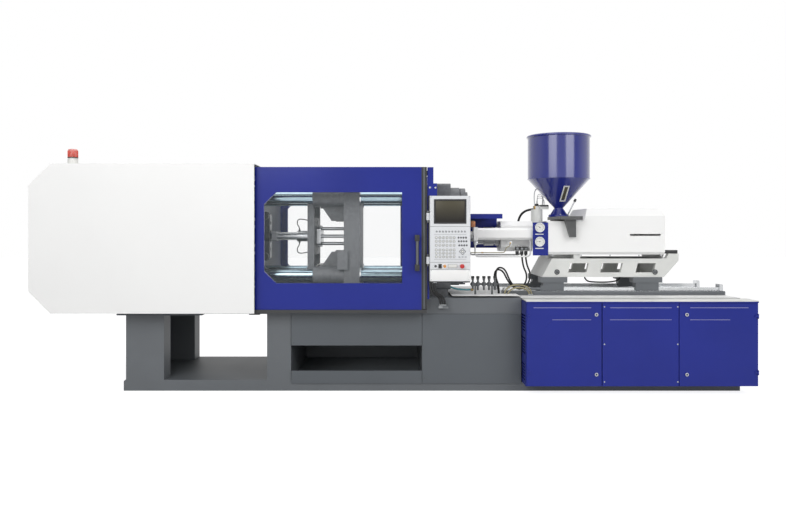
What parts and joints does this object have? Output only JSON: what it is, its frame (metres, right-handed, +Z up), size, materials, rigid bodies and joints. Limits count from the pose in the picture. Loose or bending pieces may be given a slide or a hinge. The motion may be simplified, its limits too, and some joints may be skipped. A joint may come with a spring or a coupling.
{
  "type": "injection moulding machine",
  "caption": "Horizontal injection moulding machine with a double toggle clamp behind sliding guards, a screw injection unit with hopper, a swivelling control panel and cabinets",
  "frame": {"origin": "centre of the footprint box, on the floor under the machine", "axes": "X along the machine toward the injection end, Y away from the operator, Z up"},
  "size_m": [6.14, 1.62, 2.286],
  "materials": {
    "base_grey": "satin",
    "casting_grey": "satin",
    "cover_white": "satin",
    "guard_blue": "gloss",
    "chrome": "polished",
    "steel": "brushed",
    "console_grey": "satin",
    "pane": "clear",
    "lens_red": "translucent",
    "plastic_black": "matte",
    "plastic_grey": "matte",
    "stop_red": "gloss",
    "selector_yellow": "gloss",
    "aluminium": "anodised"
  },
  "bodies": {
    "base": {"clamp_base": "base_grey", "injection_base": "base_grey", "base_panels": "base_grey", "fixed_platen": "casting_grey", "tie_bars": "chrome", "tie_bar_nuts": "steel", "clamp_side_covers": "cover_white", "clamp_end_cover": "cover_white", "beacon_base": "plastic_grey", "beacon_lens": "lens_red", "door_rails": "base_grey", "guard_plates": "guard_blue", "console_bracket": "steel", "carriage_rails": "steel", "cabinet_front": "guard_blue", "cabinet_rear": "guard_blue", "carriage_cylinders": "cover_white", "purge_guard": "guard_blue", "water_manifold": "aluminium", "console_conduit": "plastic_black"},
    "tail": {"tail_platen": "casting_grey", "clamp_cylinder": "casting_grey", "adjusting_nuts": "steel"},
    "rear_link_upper": {"rear_link_upper": "casting_grey"},
    "rear_link_lower": {"rear_link_lower": "casting_grey"},
    "front_link_upper": {"front_link_upper": "casting_grey"},
    "front_link_lower": {"front_link_lower": "casting_grey"},
    "moving": {"moving_platen": "casting_grey", "ejector_cylinder": "steel"},
    "ejector": {"ejector_plate": "steel"},
    "crosshead": {"crosshead": "steel"},
    "crosshead_link_upper": {"crosshead_link_upper": "steel"},
    "crosshead_link_lower": {"crosshead_link_lower": "steel"},
    "front_door": {"front_door": "guard_blue", "front_window": "pane", "front_handle": "aluminium", "door_edge": "plastic_black"},
    "rear_door": {"rear_door": "guard_blue", "rear_window": "pane"},
    "console": {"control_panel": "console_grey"},
    "e_stop": {"e_stop": "stop_red"},
    "selector": {"selector_switch": "selector_yellow"},
    "key": {"key_switch": "steel"},
    "rocker": {"rocker_switch": "plastic_black"},
    "cabinet_door_left": {"cabinet_door_left": "guard_blue"},
    "cabinet_door_right": {"cabinet_door_right": "guard_blue"},
    "carriage": {"carriage_feet": "base_grey", "seat_frame": "cover_white", "injection_housing": "cover_white", "barrel": "steel", "barrel_cover": "cover_white", "injection_cover": "cover_white", "carriage_rods": "chrome", "gauge_panel": "guard_blue", "hopper_base": "base_grey", "discharge_spout": "base_grey"},
    "screw_drive": {"screw_drive": "base_grey"},
    "screw": {"screw": "steel"},
    "hopper": {"hopper": "guard_blue"}
  },
  "joints": [
    {"name": "mould_height_slide", "type": "slide", "parent": "base", "child": "tail", "axis": [1, 0, 0], "range_m": [0, 0.35]},
    {"name": "toggle_upper", "type": "hinge", "parent": "tail", "child": "rear_link_upper", "pos_m": [-1.552, 0, 1.737], "axis": [0, 1, 0], "range_deg": [0, 77.31]},
    {"name": "knee_upper", "type": "hinge", "parent": "rear_link_upper", "child": "front_link_upper", "pos_m": [-1.206, 0, 1.737], "axis": [0, 1, 0], "range_deg": [-154.62, 0]},
    {"name": "platen_pivot", "type": "hinge", "parent": "front_link_upper", "child": "moving", "pos_m": [-0.86, 0, 1.737], "axis": [0, 1, 0], "range_deg": [0, 77.31]},
    {"name": "toggle_lower", "type": "hinge", "parent": "tail", "child": "rear_link_lower", "pos_m": [-1.552, 0, 0.937], "axis": [0, -1, 0], "range_deg": [0, 77.31]},
    {"name": "knee_lower", "type": "hinge", "parent": "rear_link_lower", "child": "front_link_lower", "pos_m": [-1.206, 0, 0.937], "axis": [0, -1, 0], "range_deg": [-154.62, 0]},
    {"name": "crosshead_slide", "type": "slide", "parent": "tail", "child": "crosshead", "axis": [1, 0, 0], "range_m": [-0.3073, 0]},
    {"name": "crosshead_link_turn_upper", "type": "hinge", "parent": "crosshead", "child": "crosshead_link_upper", "pos_m": [-1.19832, 0, 1.527], "axis": [0, -1, 0], "range_deg": [0, 11.05]},
    {"name": "crosshead_link_turn_lower", "type": "hinge", "parent": "crosshead", "child": "crosshead_link_lower", "pos_m": [-1.19832, 0, 1.147], "axis": [0, 1, 0], "range_deg": [0, 11.05]},
    {"name": "ejector_slide", "type": "slide", "parent": "moving", "child": "ejector", "axis": [1, 0, 0], "range_m": [0, 0.13]},
    {"name": "front_door_slide", "type": "slide", "parent": "base", "child": "front_door", "axis": [-1, 0, 0], "range_m": [0, 1.1]},
    {"name": "rear_door_slide", "type": "slide", "parent": "base", "child": "rear_door", "axis": [-1, 0, 0], "range_m": [0, 1.1]},
    {"name": "console_swivel", "type": "hinge", "parent": "base", "child": "console", "pos_m": [0.296, -0.745, 1.3], "axis": [0, 0, -1], "range_deg": [0, 90]},
    {"name": "e_stop_press", "type": "slide", "parent": "console", "child": "e_stop", "axis": [0, 1, 0], "range_m": [0, 0.006], "stiffness_N_per_m": 3000},
    {"name": "selector_turn", "type": "hinge", "parent": "console", "child": "selector", "pos_m": [0.436, -0.78, 1.09], "axis": [0, 1, 0], "range_deg": [0, 90]},
    {"name": "key_turn", "type": "hinge", "parent": "console", "child": "key", "pos_m": [0.359, -0.78, 1.09], "axis": [0, 1, 0], "range_deg": [0, 90]},
    {"name": "rocker_tilt", "type": "hinge", "parent": "console", "child": "rocker", "pos_m": [0.397, -0.773, 1.09], "axis": [1, 0, 0], "range_deg": [-6, 6]},
    {"name": "cabinet_door_left_swing", "type": "hinge", "parent": "base", "child": "cabinet_door_left", "pos_m": [1.124, -0.80415, 0.43], "axis": [0, 0, -1], "range_deg": [0, 110]},
    {"name": "cabinet_door_right_swing", "type": "hinge", "parent": "base", "child": "cabinet_door_right", "pos_m": [3.064, -0.80415, 0.43], "axis": [0, 0, 1], "range_deg": [0, 110]},
    {"name": "carriage_slide", "type": "slide", "parent": "base", "child": "carriage", "axis": [-1, 0, 0], "range_m": [0, 0.35]},
    {"name": "injection_slide", "type": "slide", "parent": "carriage", "child": "screw_drive", "axis": [1, 0, 0], "range_m": [0, 0.24]},
    {"name": "screw_turn", "type": "hinge", "parent": "screw_drive", "child": "screw", "pos_m": [2, 0, 1.337], "axis": [1, 0, 0], "continuous": true},
    {"name": "hopper_slide", "type": "slide", "parent": "carriage", "child": "hopper", "axis": [0, -1, 0], "range_m": [0, 0.33]}
  ],
  "couplings": [
    {"joint": "knee_upper", "follows": "toggle_upper", "ratio": -2},
    {"joint": "platen_pivot", "follows": "toggle_upper", "ratio": 1},
    {"joint": "toggle_lower", "follows": "toggle_upper", "ratio": 1},
    {"joint": "knee_lower", "follows": "toggle_upper", "ratio": -2},
    {"joint": "crosshead_slide", "follows": "toggle_upper", "m_per_rad": -0.22776},
    {"joint": "crosshead_link_turn_upper", "follows": "toggle_upper", "ratio": 0.14289},
    {"joint": "crosshead_link_turn_lower", "follows": "toggle_upper", "ratio": 0.14289}
  ]
}
